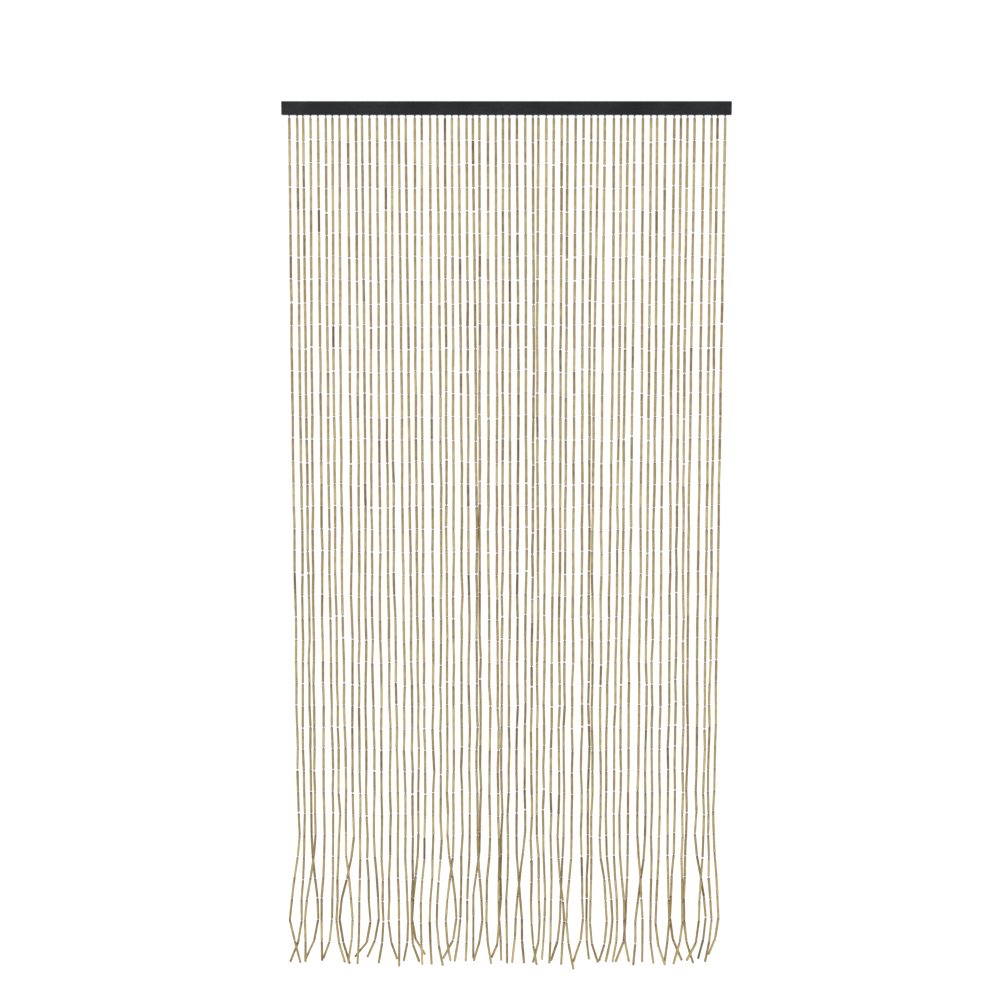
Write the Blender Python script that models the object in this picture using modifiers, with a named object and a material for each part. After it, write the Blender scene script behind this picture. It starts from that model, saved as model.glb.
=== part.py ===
"""Bead curtain with its rail: a black slat with sixty strands of bamboo tubes below it.

Metres, +Z up. The curtain is seen from -Y. The origin is the middle of the rail's top
face, where the slat meets the lintel that holds it. Each strand is a chain of straight
tubes, so it bends only at its joints, and it strays more the lower it hangs.
"""
import bmesh
import bpy
import numpy as np

# Driving sizes of the curtain
CURTAIN_WIDTH = 0.900
CURTAIN_DROP = 1.800
RAIL_HEIGHT = 0.027
RAIL_DEPTH = 0.014
RAIL_EDGE_ROUND = 0.0015
STRAND_COUNT = 60
TUBES_PER_STRAND = 38
END_MARGIN = 0.0138          # from a rail end to the nearest strand
STRAND_WIDTH = 0.0048        # a four-sided strand, a little under the round tubes
EYE_DROP = 0.005             # from the rail's underside to a strand's first joint
TIP_LOOP_DROP = 0.0017       # wire eye below a strand's last joint
TUBE_LENGTH_SPREAD = 0.0005  # how unevenly the tubes are cut
LAST_TUBE_SPREAD = 0.0040    # the same for the tube at a strand's tip

# Strip under the rail that the strands grow from
FIT_GAP = 0.0003
STRIP_HEIGHT = 0.0024
STRIP_DEPTH = 0.0064
STRIP_OVERHANG = 0.004       # past the outer strands
BAR_TILT = 0.7853981634      # an eighth of a turn, so that flats face the front

# How the strands stray from plumb
WANDER_SEED = 1
WAVE_LENGTHS = (11.0, 5.5)                # in tubes
WAVE_SWAYS = (0.0004, 0.0008)             # sideways at the tips
WAVE_GROWTHS = (0.8, 1.2)                 # how late each wave sets in
WAVE_STRETCH = (0.8, 1.25)                # spread of the wave lengths
KINK_SWAY = 0.0009           # zigzag from joint to joint, growing downwards
LAYER_STEP = 0.0060          # neighbours hang this far behind each other near the tips
LAYER_START = 5              # joint where neighbours begin to part in depth
LAYER_END = 24               # joint where they are fully parted
BOW_START = 32               # joint where the bows of the table set in
BOW_FULL = 36                # joint where they are full
CALM_SHARE = 0.75            # how far the bows still the slow waves
LEAN_SHARE = 0.25            # share of the way from its bow to its tip, one joint above the tip

# The upper part, a row for each pair of neighbouring strands, in millimetres to the right of
# even spacing: first strand, its places at these joints, its neighbour's places at them
HANG_JOINTS = (1, 10, 19, 28)
UPPER_HANG = (
    (0, 1.5, 0.6, 1.4, 3.0, 2.4, 1.6, 1.8, -1.2),
    (2, -0.4, -1.0, -1.3, -1.3, -0.5, -3.3, -4.6, -6.5),
    (4, -0.2, -0.6, -1.1, -2.5, 0.5, -0.7, -1.6, 0.4),
    (6, -0.9, -3.4, -3.7, -0.8, -1.7, -4.1, -4.5, -1.9),
    (8, 0.5, 0.3, -0.6, -1.2, 1.7, 1.5, 1.3, -1.4),
    (10, -0.9, 0.1, -0.6, -2.6, -0.6, -1.3, -3.7, -2.5),
    (12, -0.3, -0.2, -0.4, -0.4, 1.6, 0.2, 0.5, 1.7),
    (14, 0.1, -2.0, -2.0, 1.9, -1.2, 0.9, 2.1, 3.2),
    (16, -2.2, 0.7, 2.5, 3.8, 1.2, 0.1, 0.8, 1.7),
    (18, 0.3, -1.3, -1.2, 0.8, 2.3, 2.5, 4.7, 3.8),
    (20, 2.0, 5.6, 6.5, 4.1, 2.5, 3.1, 3.5, 3.7),
    (22, 1.7, 2.8, 2.7, 1.8, 0.5, 3.6, 5.2, 3.6),
    (24, 1.4, 3.0, 3.7, 5.2, -0.8, 3.4, 5.0, 5.1),
    (26, -2.5, -2.2, -3.0, -1.5, -0.2, 0.4, 0.0, 2.6),
    (28, 0.6, 2.8, 3.0, 5.6, 0.3, 0.4, -0.1, -1.7),
    (30, -1.5, -0.3, 0.2, -2.2, -1.4, 2.3, 1.5, 0.5),
    (32, 0.6, 2.9, 3.8, 1.7, 1.1, 3.7, 1.4, -0.6),
    (34, -2.7, -4.2, -1.3, -2.1, -1.6, -1.4, -2.4, -4.4),
    (36, -1.4, -2.5, -0.1, -2.3, -0.2, -0.7, -0.1, -1.7),
    (38, -3.5, -4.0, -4.2, -4.6, -2.0, -2.9, -3.6, -4.6),
    (40, -1.0, -1.0, -0.1, 1.3, -0.2, -1.4, 0.0, 0.8),
    (42, -1.7, -6.4, -8.6, -7.1, -2.7, -4.5, -5.2, -3.7),
    (44, 0.6, 1.6, -1.6, -6.3, 0.2, 0.4, -1.4, -4.7),
    (46, -1.2, -3.0, -4.6, -6.2, -2.7, -2.2, -3.6, -5.3),
    (48, -0.4, 1.7, 2.5, 1.9, 0.9, 1.2, 0.9, 1.3),
    (50, -1.6, 0.0, -1.1, -0.5, 0.1, 0.5, -0.1, 1.4),
    (52, 3.2, 2.2, 3.9, 3.9, 1.7, 1.6, 2.8, 4.2),
    (54, 0.1, -0.8, 1.3, 5.5, -0.6, -1.8, -2.8, -0.4),
    (56, 2.7, 2.3, 2.8, 4.6, 4.0, 3.4, 3.6, 4.5),
    (58, 1.1, -0.4, -0.4, -0.5, 1.4, -0.1, 0.0, -1.3),
)

# The lower edge, a row for each pair of neighbouring strands, in millimetres to the right:
# first strand, its bow and its neighbour's bow above the tips, their two tips
LOWER_EDGE = (
    (0, -16, -10, 4, -33),
    (2, 11, -30, -18, -31),
    (4, -11, -4, -12, -23),
    (6, -8, 9, 8, 1),
    (8, -32, -5, -11, -10),
    (10, 3, 6, -29, -18),
    (12, 1, -2, -9, 13),
    (14, 4, 7, 3, -1),
    (16, 1, -12, 16, 14),
    (18, -10, -4, -7, 0),
    (20, -5, 22, 6, -8),
    (22, -15, 0, -7, -14),
    (24, -1, 16, -3, -1),
    (26, -18, -5, -18, 5),
    (28, 7, -6, -9, -2),
    (30, -7, 10, -6, 16),
    (32, -17, 0, -24, 13),
    (34, 4, 0, -10, -6),
    (36, -2, 10, -4, 5),
    (38, -13, -13, -30, 2),
    (40, 6, -1, -14, 4),
    (42, -9, 11, 9, -4),
    (44, 9, 4, -6, -6),
    (46, 4, -6, 15, -27),
    (48, 13, -15, 12, -21),
    (50, 0, -4, 7, 17),
    (52, 9, -2, 1, 24),
    (54, 8, -4, -10, 18),
    (56, 28, -2, 12, -28),
    (58, 9, 10, -4, -9),
)
MILLIMETRE = 0.001
PITCH_ROUNDS = 8             # rounds that settle the tubes' pitch

# Joints that the solids bend at, closer together near the lower edge
SOLID_JOINTS = (0, 4, 7, 10, 13, 16, 19, 22, 25, 28, 30, 31, 32, 33, 34, 35, 36, 37, 38)

COLLECTION_NAME = "bead_curtain"
TOOL_COLLECTION_NAME = "bead_curtain_tools"


def smooth_step(values, start, end):
    """0 before start, 1 after end, and a smooth S between them."""
    t = np.clip((values - start) / (end - start), 0.0, 1.0)
    return t * t * (3.0 - 2.0 * t)


def hang_table(joints):
    """Each strand's place beside even spacing at every joint, from the table of the upper part."""
    places = np.zeros((STRAND_COUNT, len(joints)))
    for first, *row in UPPER_HANG:
        for strand, own in enumerate(np.reshape(row, (2, len(HANG_JOINTS))), first):
            places[strand] = np.interp(joints, HANG_JOINTS, own) * MILLIMETRE
    return places


def edge_table():
    """Each strand's bow and tip from the table of the lower edge, in metres."""
    bows = np.zeros(STRAND_COUNT)
    tips = np.zeros(STRAND_COUNT)
    for first, first_bow, second_bow, first_tip, second_tip in LOWER_EDGE:
        bows[first:first + 2] = first_bow * MILLIMETRE, second_bow * MILLIMETRE
        tips[first:first + 2] = first_tip * MILLIMETRE, second_tip * MILLIMETRE
    return bows, tips


def strand_sways(draw, joints):
    """How far each joint stands sideways from its strand's evenly spaced place.

    The upper table gives the slow drift. Two waves grow downwards, each sine with its own
    phase and stretch, and a small zigzag is added. Near the lower edge its own table takes
    over: a strand is at its bow two joints above its tip, and from there it leans to the tip.
    """
    depth = joints / TUBES_PER_STRAND
    sway = np.zeros((STRAND_COUNT, len(joints)))
    for length, width, growth in zip(WAVE_LENGTHS, WAVE_SWAYS, WAVE_GROWTHS):
        phase = draw.uniform(0.0, 2.0 * np.pi, STRAND_COUNT)
        stretch = draw.uniform(*WAVE_STRETCH, STRAND_COUNT)
        angle = 2.0 * np.pi * np.outer(stretch, joints) / length + phase[:, None]
        sway += width * depth ** growth * (np.sin(angle) - np.sin(phase)[:, None])
    drawn = smooth_step(joints, BOW_START, BOW_FULL)
    lean = np.interp(joints, (BOW_FULL, BOW_FULL + 1, TUBES_PER_STRAND), (0.0, LEAN_SHARE, 1.0))
    zigzag = KINK_SWAY * depth * draw.normal(0.0, 1.0, sway.shape)
    bows, tips = edge_table()
    calmed = sway * (1.0 - CALM_SHARE * drawn)
    upper = hang_table(joints) * (1.0 - drawn)
    return upper + calmed + zigzag + np.outer(bows, drawn) + np.outer(tips - bows, lean)


def strand_joints():
    """Joint points of all strands, an array of strands by joints by x, y and z.

    In depth, every third strand hangs in the same layer, so that neighbours can pass each
    other. Each joint is one tube's length from the last, which gives its height, and the
    pitch is settled so that the lowest tip ends at the curtain's drop.
    """
    draw = np.random.default_rng(WANDER_SEED)
    joints = np.arange(TUBES_PER_STRAND + 1)
    half = CURTAIN_WIDTH / 2.0 - END_MARGIN
    even_x = np.linspace(-half, half, STRAND_COUNT)
    layer = (np.arange(STRAND_COUNT) % 3 - 1.0) * LAYER_STEP
    points = np.zeros((STRAND_COUNT, len(joints), 3))
    points[:, :, 0] = even_x[:, None] + strand_sways(draw, joints)
    points[:, :, 1] = np.outer(layer, smooth_step(joints, LAYER_START, LAYER_END))
    spread = np.full(TUBES_PER_STRAND, TUBE_LENGTH_SPREAD)
    spread[-1] = LAST_TUBE_SPREAD
    uneven = spread * draw.normal(0.0, 1.0, (STRAND_COUNT, TUBES_PER_STRAND))
    side = np.linalg.norm(np.diff(points[:, :, :2], axis=1), axis=2)
    top = -RAIL_HEIGHT - EYE_DROP
    reach = CURTAIN_DROP + top - TIP_LOOP_DROP
    pitch = reach / TUBES_PER_STRAND
    for _ in range(PITCH_ROUNDS):
        drop = np.sqrt((pitch + uneven) ** 2 - side ** 2)
        pitch += (reach - drop.sum(axis=1).max()) / TUBES_PER_STRAND
    points[:, 0, 2] = top
    points[:, 1:, 2] = top - np.cumsum(drop, axis=1)
    return points


def clear_scene():
    """Removes whatever the scene holds."""
    for thing in list(bpy.data.objects):
        bpy.data.objects.remove(thing, do_unlink=True)


def new_collection(name):
    """A collection of this name, linked to the scene."""
    collection = bpy.data.collections.new(name)
    bpy.context.scene.collection.children.link(collection)
    return collection


def new_material(name, color, roughness, metallic=0.0):
    """A plain Principled material."""
    material = bpy.data.materials.new(name)
    material.use_nodes = True
    shader = material.node_tree.nodes["Principled BSDF"]
    shader.inputs["Base Color"].default_value = (*color, 1.0)
    shader.inputs["Roughness"].default_value = roughness
    shader.inputs["Metallic"].default_value = metallic
    return material


def new_box(name, collection, size, centre):
    """A box of this size, its size put into the mesh so that a bevel isn't stretched."""
    mesh = bpy.data.meshes.new(name)
    shape = bmesh.new()
    bmesh.ops.create_cube(shape, size=1.0)
    bmesh.ops.scale(shape, vec=size, verts=shape.verts)
    shape.to_mesh(mesh)
    shape.free()
    box = bpy.data.objects.new(name, mesh)
    box.location = centre
    collection.objects.link(box)
    return box


def make_rail(collection):
    """The slat: a straight bar with eased edges, its top face at the origin's height."""
    size = (CURTAIN_WIDTH, RAIL_DEPTH, RAIL_HEIGHT)
    rail = new_box("rail", collection, size, (0.0, 0.0, -RAIL_HEIGHT / 2.0))
    edges = rail.modifiers.new("eased_edges", "BEVEL")
    edges.width = RAIL_EDGE_ROUND
    edges.segments = 2
    edges.limit_method = "ANGLE"
    rail.data.materials.append(new_material("black_paint", (0.028, 0.029, 0.032), 0.45))
    return rail


def make_strand_curves(collection):
    """All strands as one curve of straight runs, each a four-sided bar with capped ends."""
    curve = bpy.data.curves.new("strand_runs", "CURVE")
    curve.dimensions = "3D"
    curve.twist_mode = "MINIMUM"
    curve.bevel_depth = STRAND_WIDTH / np.sqrt(2.0)
    curve.bevel_resolution = 0
    curve.use_fill_caps = True
    strip_middle = -RAIL_HEIGHT - FIT_GAP - STRIP_HEIGHT / 2.0
    for joints in strand_joints()[:, SOLID_JOINTS, :]:
        root = (joints[0][0], joints[0][1], strip_middle)
        end = (joints[-1][0], joints[-1][1], joints[-1][2] - TIP_LOOP_DROP)
        route = [root, *joints[:-1], end]
        spline = curve.splines.new("POLY")
        spline.points.add(len(route) - 1)
        for point, place in zip(spline.points, route):
            point.co = (*place, 1.0)
            point.tilt = BAR_TILT
    runs = bpy.data.objects.new("strand_runs", curve)
    collection.objects.link(runs)
    return runs


def mesh_from_curve(curve_object, name, collection):
    """The curve's evaluated tubes as a mesh object, their loose caps welded on."""
    evaluated = curve_object.evaluated_get(bpy.context.evaluated_depsgraph_get())
    mesh = bpy.data.meshes.new_from_object(evaluated)
    mesh.name = name
    shape = bmesh.new()
    shape.from_mesh(mesh)
    bmesh.ops.remove_doubles(shape, verts=shape.verts, dist=0.00001)
    shape.to_mesh(mesh)
    shape.free()
    solid = bpy.data.objects.new(name, mesh)
    solid.matrix_world = curve_object.matrix_world
    collection.objects.link(solid)
    bpy.data.objects.remove(curve_object, do_unlink=True)
    return solid


def make_strands(collection, tools):
    """The sixty strands, their roots fused into one narrow strip just under the rail."""
    bars = mesh_from_curve(make_strand_curves(tools), "strand_bars", tools)
    bars.hide_render = True
    bars.display_type = "WIRE"
    strip_length = CURTAIN_WIDTH - 2.0 * (END_MARGIN - STRIP_OVERHANG)
    strip_centre = (0.0, 0.0, -RAIL_HEIGHT - FIT_GAP - STRIP_HEIGHT / 2.0)
    strip_size = (strip_length, STRIP_DEPTH, STRIP_HEIGHT)
    strands = new_box("strands", collection, strip_size, strip_centre)
    fuse = strands.modifiers.new("fuse_strands", "BOOLEAN")
    fuse.operation = "UNION"
    fuse.object = bars
    strands.data.materials.append(new_material("bamboo", (0.48, 0.37, 0.21), 0.6))
    return strands


def main():
    clear_scene()
    collection = new_collection(COLLECTION_NAME)
    tools = new_collection(TOOL_COLLECTION_NAME)
    make_rail(collection)
    make_strands(collection, tools)


main()
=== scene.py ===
"""Doorway bead curtain: strands of bamboo tubes hooked end to end by wire eyes, under a black slat rail.

The file is laid out as a Blender add-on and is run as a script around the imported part.
Lengths are in metres. Strands are counted from the left and tubes from the top.
"""

import bpy
import numpy as np
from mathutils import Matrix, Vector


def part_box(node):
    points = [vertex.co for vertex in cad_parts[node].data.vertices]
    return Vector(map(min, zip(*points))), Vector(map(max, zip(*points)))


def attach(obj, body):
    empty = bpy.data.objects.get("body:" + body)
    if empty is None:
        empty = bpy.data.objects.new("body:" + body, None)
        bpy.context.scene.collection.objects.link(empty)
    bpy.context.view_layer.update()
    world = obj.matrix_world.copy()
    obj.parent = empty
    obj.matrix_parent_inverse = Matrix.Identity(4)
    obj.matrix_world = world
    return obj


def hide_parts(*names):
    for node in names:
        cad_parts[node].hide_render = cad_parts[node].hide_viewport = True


bl_info = {
    "name": "Bamboo bead curtain",
    "version": (1, 0, 0),
    "blender": (4, 5, 0),
    "location": "3D View > Sidebar > Curtain",
    "description": "Builds the tubes, wire eyes, rail finish and studio of a doorway bead curtain",
    "category": "Object",
}

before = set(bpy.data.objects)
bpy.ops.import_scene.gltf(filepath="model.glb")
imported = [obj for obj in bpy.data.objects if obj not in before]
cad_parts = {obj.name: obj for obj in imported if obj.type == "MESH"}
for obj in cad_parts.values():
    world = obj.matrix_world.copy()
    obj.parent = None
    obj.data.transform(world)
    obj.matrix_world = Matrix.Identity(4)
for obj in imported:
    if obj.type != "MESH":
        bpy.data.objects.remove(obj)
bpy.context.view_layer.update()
RAIL_LOW, RAIL_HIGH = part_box("rail")
MILLIMETRE = 0.001

# Sizes of the curtain, the same as the solids have
CURTAIN_WIDTH = RAIL_HIGH.x - RAIL_LOW.x
CURTAIN_DROP = 1.800
RAIL_HEIGHT = RAIL_HIGH.z - RAIL_LOW.z
STRAND_COUNT = 60
TUBES_PER_STRAND = 38
END_MARGIN = 0.0138
EYE_DROP = 0.005
TIP_LOOP_DROP = 0.0017
TUBE_LENGTH_SPREAD = 0.0005
LAST_TUBE_SPREAD = 0.0040

# How the strands wander: slow waves, kinks at the joints, layers in depth and a drawn lower edge
WANDER_SEED = 1
WAVE_LENGTHS = (11.0, 5.5)
WAVE_SWAYS = (0.0004, 0.0008)
WAVE_GROWTHS = (0.8, 1.2)
WAVE_STRETCH = (0.8, 1.25)
KINK_SWAY = 0.0009
LAYERS = 3
LAYER_STEP = 0.0060
LAYER_START = 5
LAYER_END = 24
BOW_START = 32
BOW_FULL = 36
CALM_SHARE = 0.75
LEAN_SHARE = 0.25
PITCH_ROUNDS = 8
# Columns: first strand of the pair, then its places and its neighbour's beside even spacing at
# the joints named first, in millimetres
HANG_JOINTS = (1, 10, 19, 28)
UPPER_HANG = (
    (0, 1.5, 0.6, 1.4, 3.0, 2.4, 1.6, 1.8, -1.2),
    (2, -0.4, -1.0, -1.3, -1.3, -0.5, -3.3, -4.6, -6.5),
    (4, -0.2, -0.6, -1.1, -2.5, 0.5, -0.7, -1.6, 0.4),
    (6, -0.9, -3.4, -3.7, -0.8, -1.7, -4.1, -4.5, -1.9),
    (8, 0.5, 0.3, -0.6, -1.2, 1.7, 1.5, 1.3, -1.4),
    (10, -0.9, 0.1, -0.6, -2.6, -0.6, -1.3, -3.7, -2.5),
    (12, -0.3, -0.2, -0.4, -0.4, 1.6, 0.2, 0.5, 1.7),
    (14, 0.1, -2.0, -2.0, 1.9, -1.2, 0.9, 2.1, 3.2),
    (16, -2.2, 0.7, 2.5, 3.8, 1.2, 0.1, 0.8, 1.7),
    (18, 0.3, -1.3, -1.2, 0.8, 2.3, 2.5, 4.7, 3.8),
    (20, 2.0, 5.6, 6.5, 4.1, 2.5, 3.1, 3.5, 3.7),
    (22, 1.7, 2.8, 2.7, 1.8, 0.5, 3.6, 5.2, 3.6),
    (24, 1.4, 3.0, 3.7, 5.2, -0.8, 3.4, 5.0, 5.1),
    (26, -2.5, -2.2, -3.0, -1.5, -0.2, 0.4, 0.0, 2.6),
    (28, 0.6, 2.8, 3.0, 5.6, 0.3, 0.4, -0.1, -1.7),
    (30, -1.5, -0.3, 0.2, -2.2, -1.4, 2.3, 1.5, 0.5),
    (32, 0.6, 2.9, 3.8, 1.7, 1.1, 3.7, 1.4, -0.6),
    (34, -2.7, -4.2, -1.3, -2.1, -1.6, -1.4, -2.4, -4.4),
    (36, -1.4, -2.5, -0.1, -2.3, -0.2, -0.7, -0.1, -1.7),
    (38, -3.5, -4.0, -4.2, -4.6, -2.0, -2.9, -3.6, -4.6),
    (40, -1.0, -1.0, -0.1, 1.3, -0.2, -1.4, 0.0, 0.8),
    (42, -1.7, -6.4, -8.6, -7.1, -2.7, -4.5, -5.2, -3.7),
    (44, 0.6, 1.6, -1.6, -6.3, 0.2, 0.4, -1.4, -4.7),
    (46, -1.2, -3.0, -4.6, -6.2, -2.7, -2.2, -3.6, -5.3),
    (48, -0.4, 1.7, 2.5, 1.9, 0.9, 1.2, 0.9, 1.3),
    (50, -1.6, 0.0, -1.1, -0.5, 0.1, 0.5, -0.1, 1.4),
    (52, 3.2, 2.2, 3.9, 3.9, 1.7, 1.6, 2.8, 4.2),
    (54, 0.1, -0.8, 1.3, 5.5, -0.6, -1.8, -2.8, -0.4),
    (56, 2.7, 2.3, 2.8, 4.6, 4.0, 3.4, 3.6, 4.5),
    (58, 1.1, -0.4, -0.4, -0.5, 1.4, -0.1, 0.0, -1.3),
)
# Columns: first strand of the pair, its bow, its neighbour's bow, their two tips, in millimetres
LOWER_EDGE = (
    (0, -16, -10, 4, -33),
    (2, 11, -30, -18, -31),
    (4, -11, -4, -12, -23),
    (6, -8, 9, 8, 1),
    (8, -32, -5, -11, -10),
    (10, 3, 6, -29, -18),
    (12, 1, -2, -9, 13),
    (14, 4, 7, 3, -1),
    (16, 1, -12, 16, 14),
    (18, -10, -4, -7, 0),
    (20, -5, 22, 6, -8),
    (22, -15, 0, -7, -14),
    (24, -1, 16, -3, -1),
    (26, -18, -5, -18, 5),
    (28, 7, -6, -9, -2),
    (30, -7, 10, -6, 16),
    (32, -17, 0, -24, 13),
    (34, 4, 0, -10, -6),
    (36, -2, 10, -4, 5),
    (38, -13, -13, -30, 2),
    (40, 6, -1, -14, 4),
    (42, -9, 11, 9, -4),
    (44, 9, 4, -6, -6),
    (46, 4, -6, 15, -27),
    (48, 13, -15, 12, -21),
    (50, 0, -4, 7, 17),
    (52, 9, -2, 1, 24),
    (54, 8, -4, -10, 18),
    (56, 28, -2, 12, -28),
    (58, 9, 10, -4, -9),
)

# How finely the small parts are meshed
BAND_COUNT = 4
TUBE_SIDES = 8
WIRE_SIDES = 4
WIRE_SECTIONS = 12
RING_SECTIONS = 14
RING_SIDES = 6
COLLAR_SIDES = 12
SHARP_ANGLE = np.radians(60.0)

# How the joints slip along their strands, and how uneven the gaps between tubes are
HANG_SEED = 11
JOINT_SLIP = 0.0018
STRAND_SLIP = 0.0022
GAP_SHAPE = 1.2

# How the tubes differ: their thickness, shade, waists, knot rings and places in the cane
LOOK_SEED = 7
MOST_SPREAD = 0.06
TONE_MEAN = 0.62
STRAND_TONE_SPREAD = 0.06
TUBE_TONE_SPREAD = 0.14
DARK_SHARE = 0.06
DARK_DROP = 0.28
WAIST_SHARES = (0.2, 1.0)
KNOT_SHARE = 0.16
KNOT_PLACES = (0.15, 0.85)
NO_KNOT = -1.0
GRAIN_REACH = 4.0

# Shapes at a tube's end: where the bore starts inside the cut, and the slope of the eased edge
BORE_RIM = 0.0002
CUT_SLOPE = 0.75

# Wire eyes: how many half turns the wire goes to each side, the most that a sine times the squared
# cosine of half the angle reaches, half of the legs' distance in wire thicknesses, and the turns
EYE_TURN = 0.9
DROP_WIDEST = 0.75 * np.sin(2.0 * np.pi / 3.0)
LEG_STEP = 0.53
WIRE_TURN = np.pi / 4.0
EYE_TURN_SPREAD = 0.25
SCREW_TURN = 0.9

# A screw eye's collar and shank. Columns: share of the collar's radius, height above the underside
COLLAR_PROFILE = (
    (0.30, 0.0012),
    (0.96, 0.0010),
    (1.00, 0.0000),
    (0.97, -0.0007),
    (0.70, -0.0012),
    (0.30, -0.0014),
    (0.24, -0.0026),
)

# The two noises of the fibre mask. Columns: scale, detail, share
FIBRE_NOISES = (
    (1.0, 3.0, 0.6),
    (3.1, 2.0, 0.4),
)
CONTRAST_REACH = 3.0

# What the masks do. A rise gives a mask's low and high, and the values there.
# A roughness gives what the mask adds, and what it is added to. A bump gives distance and strength.
CANE_STOPS = (0.0, 0.33, 0.66, 1.0)
BLOTCH_SHADE = 0.30
FIBRE_SHADE = 0.22
RIM_RISE = (0.0002, 0.0024, 0.55, 0.0)
KNOT_RISE = (0.0003, 0.0009, 0.6, 0.0)
CANE_ROUGHNESS = (0.22, 0.42)
CANE_SPECULAR = 0.25
CANE_BUMP = (0.00012, 0.6)
WIRE_ROUGHNESS = (0.25, 0.28)
WORN_FIBRE = (0.45, 0.75)
FLECK_RISE = (0.62, 0.95, 0.0, 0.45)
CLOUD_RISE = (0.3, 0.7, 0.3, 1.0)
THIN_PAINT_SHARE = 0.5
PAINT_FIBRE_ROUGHNESS = 0.2
PAINT_ROUGHNESS = (0.15, 0.26)
PAINT_SPECULAR = 0.17
FLECK_BUMP_SHARE = 0.25
PAINT_BUMP = (0.0001, 0.4)
RUBBED_SHARE = 0.5
EYE_METALLIC = 0.4
EYE_ROUGHNESS = (0.2, 0.35)

# The stage
FLOOR_REACH = 14.0
FLOOR_LINES = 5
FLOOR_SHADE = (0.86, 0.86, 0.85)
FLOOR_MOTTLE = 0.15
FLOOR_ROUGHNESS = 0.9
FLOOR_GLOW = 0.64
SEEN_WHITE = 1.02
SENSOR_WIDTH = 36.0
# Columns: light, its place, the point that it is turned to, its side
SOFT_BOXES = (
    ("key_light", (-2.2, -3.2, 1.2), (0.0, 0.0, -0.8), 2.4),
    ("fill_light", (2.6, -3.0, -0.2), (0.0, 0.0, -0.9), 2.0),
)


def smooth_step(values, start, end):
    """Zero up to start, one from end on, and between them three t squared less two t cubed."""
    t = np.clip((values - start) / (end - start), 0.0, 1.0)
    return t * t * (3.0 - 2.0 * t)


def hang_table(joints):
    """Each strand's place beside even spacing, drawn in straight runs between the table's joints."""
    places = np.zeros((STRAND_COUNT, len(joints)))
    for first, *row in UPPER_HANG:
        for strand, own in enumerate(np.reshape(row, (2, len(HANG_JOINTS))), first):
            places[strand] = np.interp(joints, HANG_JOINTS, own) * MILLIMETRE
    return places


def edge_table():
    """The bow of each strand near the lower edge, and how far its tip stands to the side, in metres."""
    bows = np.zeros(STRAND_COUNT)
    tips = np.zeros(STRAND_COUNT)
    for first, first_bow, second_bow, first_tip, second_tip in LOWER_EDGE:
        bows[first:first + 2] = first_bow * MILLIMETRE, second_bow * MILLIMETRE
        tips[first:first + 2] = first_tip * MILLIMETRE, second_tip * MILLIMETRE
    return bows, tips


def strand_sways(draw, joints):
    """How far each joint stands to the side of its strand's evenly spaced place.

    The sum of the drawn upper part, two sine waves that widen downwards, a zigzag of kinks, and the
    drawn bows and tips, which take over from the upper part near the lower edge.
    A strand is at its bow two joints above its tip, and from there it leans towards its tip.
    """
    depth = joints / TUBES_PER_STRAND
    sway = np.zeros((STRAND_COUNT, len(joints)))
    for length, width, growth in zip(WAVE_LENGTHS, WAVE_SWAYS, WAVE_GROWTHS):
        phase = draw.uniform(0.0, 2.0 * np.pi, STRAND_COUNT)
        stretch = draw.uniform(*WAVE_STRETCH, STRAND_COUNT)
        angle = 2.0 * np.pi * np.outer(stretch, joints) / length + phase[:, None]
        sway += width * depth ** growth * (np.sin(angle) - np.sin(phase)[:, None])
    drawn = smooth_step(joints, BOW_START, BOW_FULL)
    lean = np.interp(joints, (BOW_FULL, BOW_FULL + 1, TUBES_PER_STRAND), (0.0, LEAN_SHARE, 1.0))
    zigzag = KINK_SWAY * depth * draw.normal(0.0, 1.0, sway.shape)
    bows, tips = edge_table()
    calmed = sway * (1.0 - CALM_SHARE * drawn)
    upper = hang_table(joints) * (1.0 - drawn)
    return upper + calmed + zigzag + np.outer(bows, drawn) + np.outer(tips - bows, lean)


def strand_joints():
    """The joints of every strand, strands by joints by three coordinates.

    Each tube is a little longer or shorter than the mean, and each joint is one tube below the last.
    The mean is found in a few rounds, so that the longest strand ends at the curtain's drop.
    """
    draw = np.random.default_rng(WANDER_SEED)
    joints = np.arange(TUBES_PER_STRAND + 1)
    half = CURTAIN_WIDTH / 2.0 - END_MARGIN
    even_x = np.linspace(-half, half, STRAND_COUNT)
    layer = (np.arange(STRAND_COUNT) % LAYERS - (LAYERS - 1) / 2.0) * LAYER_STEP
    points = np.zeros((STRAND_COUNT, len(joints), 3))
    points[:, :, 0] = even_x[:, None] + strand_sways(draw, joints)
    points[:, :, 1] = np.outer(layer, smooth_step(joints, LAYER_START, LAYER_END))
    spread = np.full(TUBES_PER_STRAND, TUBE_LENGTH_SPREAD)
    spread[-1] = LAST_TUBE_SPREAD
    uneven = spread * draw.normal(0.0, 1.0, (STRAND_COUNT, TUBES_PER_STRAND))
    side = np.linalg.norm(np.diff(points[:, :, :2], axis=1), axis=2)
    top = -RAIL_HEIGHT - EYE_DROP
    reach = CURTAIN_DROP + top - TIP_LOOP_DROP
    pitch = reach / TUBES_PER_STRAND
    for _ in range(PITCH_ROUNDS):
        drop = np.sqrt((pitch + uneven) ** 2 - side ** 2)
        pitch += (reach - drop.sum(axis=1).max()) / TUBES_PER_STRAND
    points[:, 0, 2] = top
    points[:, 1:, 2] = top - np.cumsum(drop, axis=1)
    return points


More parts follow.
